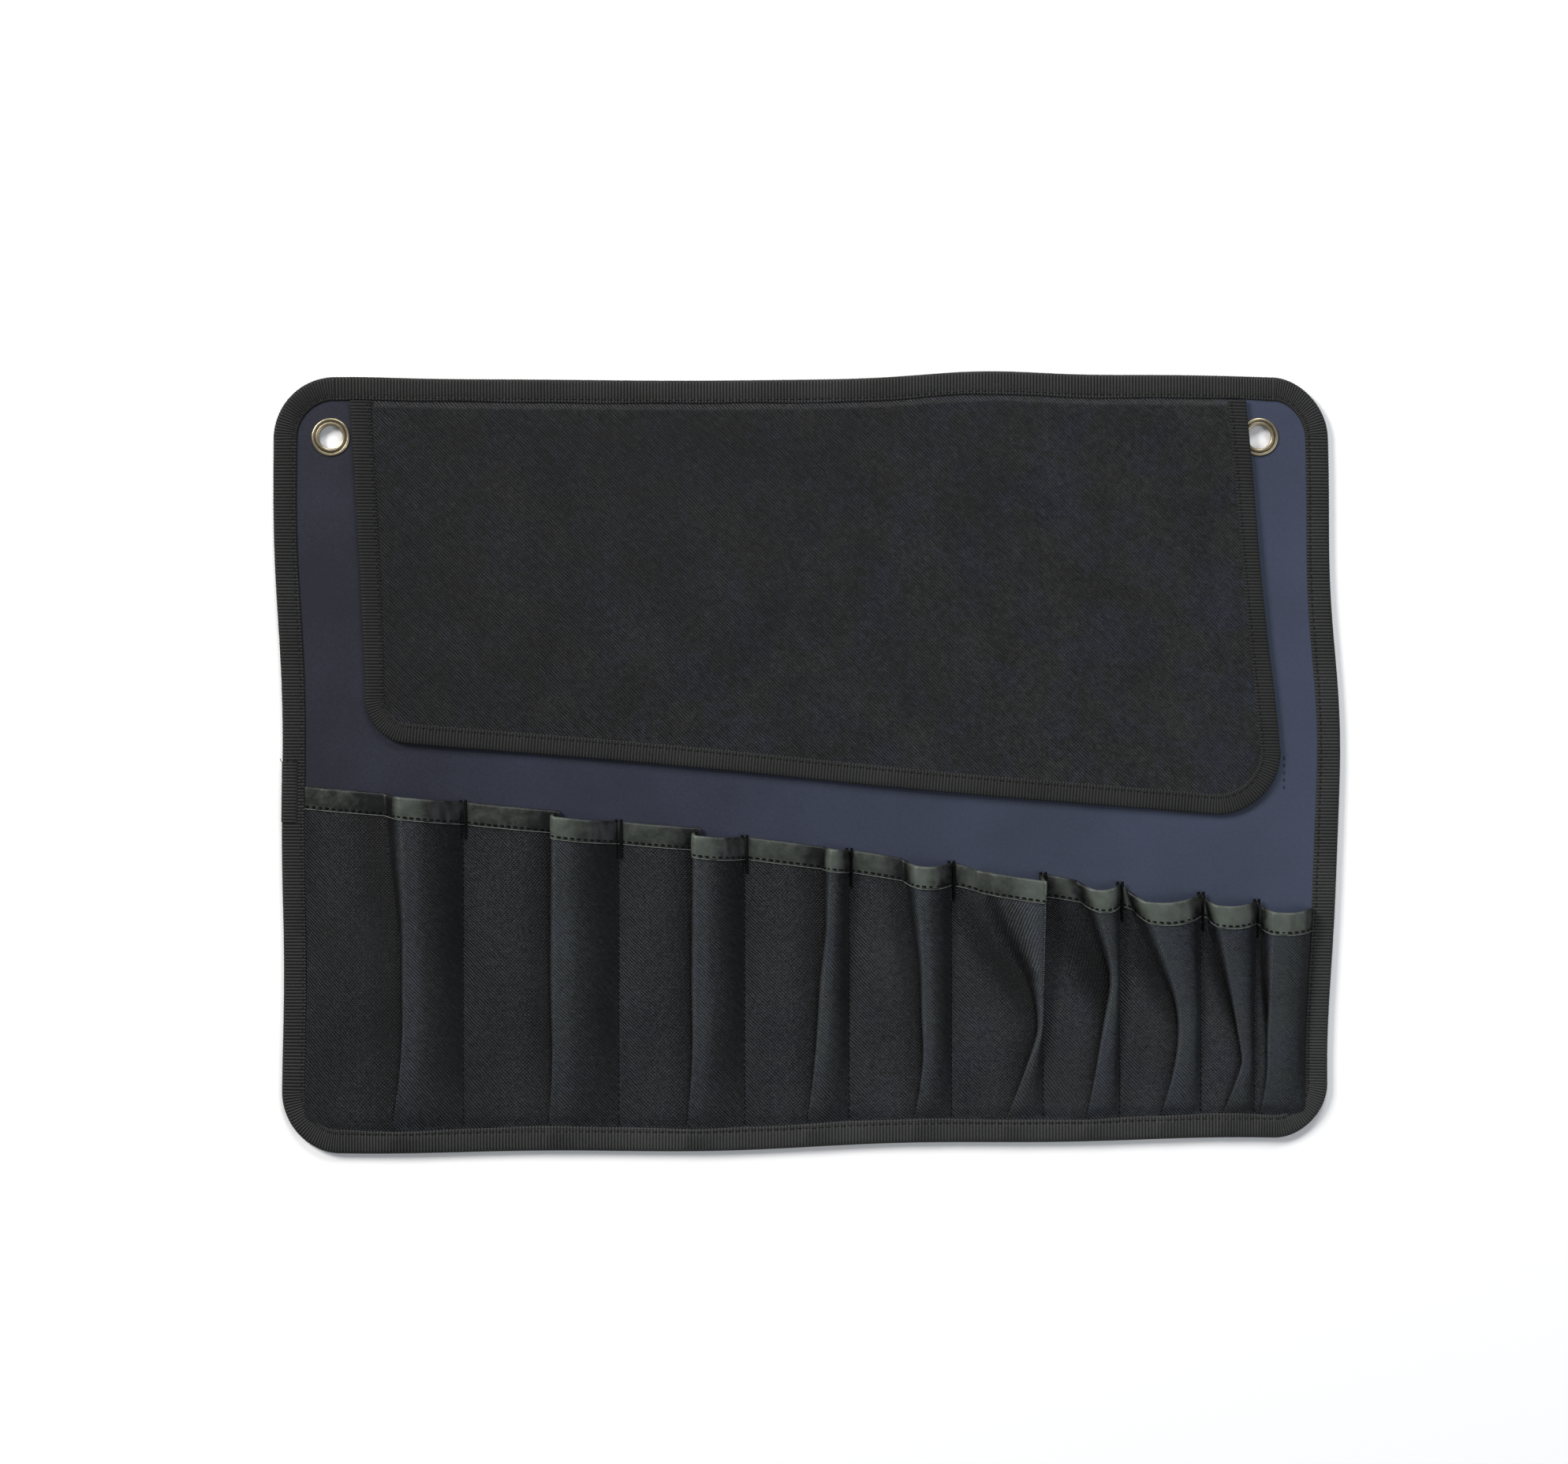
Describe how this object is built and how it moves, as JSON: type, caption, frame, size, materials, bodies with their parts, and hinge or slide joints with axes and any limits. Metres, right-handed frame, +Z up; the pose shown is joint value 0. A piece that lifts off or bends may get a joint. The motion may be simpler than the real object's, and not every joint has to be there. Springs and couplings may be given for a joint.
{
  "type": "brush roll case",
  "caption": "Flat fabric roll case with slanted, pleated brush pockets, a fold-over dust flap, tape-bound edges and corner eyelets, which rolls up from one end.",
  "frame": {"origin": "on the table, under the middle of the open case", "axes": "+X along the row of pockets from the wide ones to the narrow ones, +Y from the pockets' foot to the eyelets, +Z up out of the open case"},
  "size_m": [0.5, 0.36, 0.0103],
  "materials": {
    "coated_nylon": "smooth, faint sheen",
    "ribbed_tape": "matt, ribbed",
    "pocket_cloth": "matt twill",
    "flap_cloth": "matt twill",
    "vinyl_edging": "soft vinyl",
    "aged_brass": "antique",
    "strap_webbing": "webbing",
    "hook_tape": "hooks",
    "loop_tape": "loops"
  },
  "bodies": {
    "strip_1": {"back_panel_1": "coated_nylon", "edge_binding_1": "ribbed_tape", "pocket_front_1": "pocket_cloth", "pocket_trim_1": "vinyl_edging", "eyelet_left": "aged_brass", "eyelet_washer_left": "aged_brass"},
    "strip_2": {"back_panel_2": "coated_nylon", "edge_binding_2": "ribbed_tape", "pocket_front_2": "pocket_cloth", "pocket_trim_2": "vinyl_edging"},
    "strip_3": {"back_panel_3": "coated_nylon", "edge_binding_3": "ribbed_tape", "pocket_front_3": "pocket_cloth", "pocket_trim_3": "vinyl_edging"},
    "strip_4": {"back_panel_4": "coated_nylon", "edge_binding_4": "ribbed_tape", "pocket_front_4": "pocket_cloth", "pocket_trim_4": "vinyl_edging"},
    "strip_5": {"back_panel_5": "coated_nylon", "edge_binding_5": "ribbed_tape", "pocket_front_5": "pocket_cloth", "pocket_trim_5": "vinyl_edging"},
    "strip_6": {"back_panel_6": "coated_nylon", "edge_binding_6": "ribbed_tape", "pocket_front_6": "pocket_cloth", "pocket_trim_6": "vinyl_edging"},
    "strip_7": {"back_panel_7": "coated_nylon", "edge_binding_7": "ribbed_tape", "pocket_front_7": "pocket_cloth", "pocket_trim_7": "vinyl_edging", "pocket_front_8": "pocket_cloth", "pocket_trim_8": "vinyl_edging"},
    "strip_8": {"back_panel_8": "coated_nylon", "edge_binding_8": "ribbed_tape", "pocket_front_9": "pocket_cloth", "pocket_trim_9": "vinyl_edging", "pocket_front_10": "pocket_cloth", "pocket_trim_10": "vinyl_edging", "eyelet_right": "aged_brass", "eyelet_washer_right": "aged_brass", "closure_strap": "strap_webbing", "hook_patch": "hook_tape", "loop_patch": "loop_tape"},
    "flap_1": {"flap_panel_1": "flap_cloth", "flap_binding_1": "ribbed_tape"},
    "flap_2": {"flap_panel_2": "flap_cloth", "flap_binding_2": "ribbed_tape"},
    "flap_3": {"flap_panel_3": "flap_cloth", "flap_binding_3": "ribbed_tape"},
    "flap_4": {"flap_panel_4": "flap_cloth", "flap_binding_4": "ribbed_tape"},
    "flap_5": {"flap_panel_5": "flap_cloth", "flap_binding_5": "ribbed_tape"},
    "flap_6": {"flap_panel_6": "flap_cloth", "flap_binding_6": "ribbed_tape"},
    "flap_7": {"flap_panel_7": "flap_cloth", "flap_binding_7": "ribbed_tape"},
    "flap_8": {"flap_panel_8": "flap_cloth", "flap_binding_8": "ribbed_tape"}
  },
  "joints": [
    {"name": "roll_fold_7", "type": "hinge", "parent": "strip_8", "child": "strip_7", "pos_m": [0.184, 0, 0.0045], "axis": [0, 1, 0], "range_deg": [0, 100]},
    {"name": "roll_fold_6", "type": "hinge", "parent": "strip_7", "child": "strip_6", "pos_m": [0.11, 0, 0.0045], "axis": [0, 1, 0], "range_deg": [0, 34]},
    {"name": "roll_fold_5", "type": "hinge", "parent": "strip_6", "child": "strip_5", "pos_m": [0.067, 0, 0.0045], "axis": [0, 1, 0], "range_deg": [0, 46]},
    {"name": "roll_fold_4", "type": "hinge", "parent": "strip_5", "child": "strip_4", "pos_m": [0.019, 0, 0.0045], "axis": [0, 1, 0], "range_deg": [0, 76]},
    {"name": "roll_fold_3", "type": "hinge", "parent": "strip_4", "child": "strip_3", "pos_m": [-0.03, 0, 0.0045], "axis": [0, 1, 0], "range_deg": [0, 31]},
    {"name": "roll_fold_2", "type": "hinge", "parent": "strip_3", "child": "strip_2", "pos_m": [-0.089, 0, 0.0045], "axis": [0, 1, 0], "range_deg": [0, 100]},
    {"name": "roll_fold_1", "type": "hinge", "parent": "strip_2", "child": "strip_1", "pos_m": [-0.162, 0, 0.0045], "axis": [0, 1, 0], "range_deg": [0, 112]},
    {"name": "flap_fold_8", "type": "hinge", "parent": "strip_8", "child": "flap_8", "pos_m": [0.217, 0.169, 0.0038], "axis": [-1, 0, 0], "range_deg": [0, 180]},
    {"name": "flap_fold_7", "type": "hinge", "parent": "strip_7", "child": "flap_7", "pos_m": [0.147, 0.169, 0.0038], "axis": [-1, 0, 0], "range_deg": [0, 180]},
    {"name": "flap_fold_6", "type": "hinge", "parent": "strip_6", "child": "flap_6", "pos_m": [0.0885, 0.169, 0.0038], "axis": [-1, 0, 0], "range_deg": [0, 180]},
    {"name": "flap_fold_5", "type": "hinge", "parent": "strip_5", "child": "flap_5", "pos_m": [0.043, 0.169, 0.0038], "axis": [-1, 0, 0], "range_deg": [0, 180]},
    {"name": "flap_fold_4", "type": "hinge", "parent": "strip_4", "child": "flap_4", "pos_m": [-0.0055, 0.169, 0.0038], "axis": [-1, 0, 0], "range_deg": [0, 180]},
    {"name": "flap_fold_3", "type": "hinge", "parent": "strip_3", "child": "flap_3", "pos_m": [-0.0595, 0.169, 0.0038], "axis": [-1, 0, 0], "range_deg": [0, 180]},
    {"name": "flap_fold_2", "type": "hinge", "parent": "strip_2", "child": "flap_2", "pos_m": [-0.1255, 0.169, 0.0038], "axis": [-1, 0, 0], "range_deg": [0, 180]},
    {"name": "flap_fold_1", "type": "hinge", "parent": "strip_1", "child": "flap_1", "pos_m": [-0.206, 0.169, 0.0038], "axis": [-1, 0, 0], "range_deg": [0, 180]}
  ],
  "couplings": [
    {"joint": "roll_fold_6", "follows": "roll_fold_7", "ratio": 0.34},
    {"joint": "roll_fold_5", "follows": "roll_fold_7", "ratio": 0.46},
    {"joint": "roll_fold_4", "follows": "roll_fold_7", "ratio": 0.76},
    {"joint": "roll_fold_3", "follows": "roll_fold_7", "ratio": 0.31},
    {"joint": "roll_fold_2", "follows": "roll_fold_7", "ratio": 1},
    {"joint": "roll_fold_1", "follows": "roll_fold_7", "ratio": 1.12},
    {"joint": "flap_fold_7", "follows": "flap_fold_8", "ratio": 1},
    {"joint": "flap_fold_6", "follows": "flap_fold_8", "ratio": 1},
    {"joint": "flap_fold_5", "follows": "flap_fold_8", "ratio": 1},
    {"joint": "flap_fold_4", "follows": "flap_fold_8", "ratio": 1},
    {"joint": "flap_fold_3", "follows": "flap_fold_8", "ratio": 1},
    {"joint": "flap_fold_2", "follows": "flap_fold_8", "ratio": 1},
    {"joint": "flap_fold_1", "follows": "flap_fold_8", "ratio": 1}
  ]
}
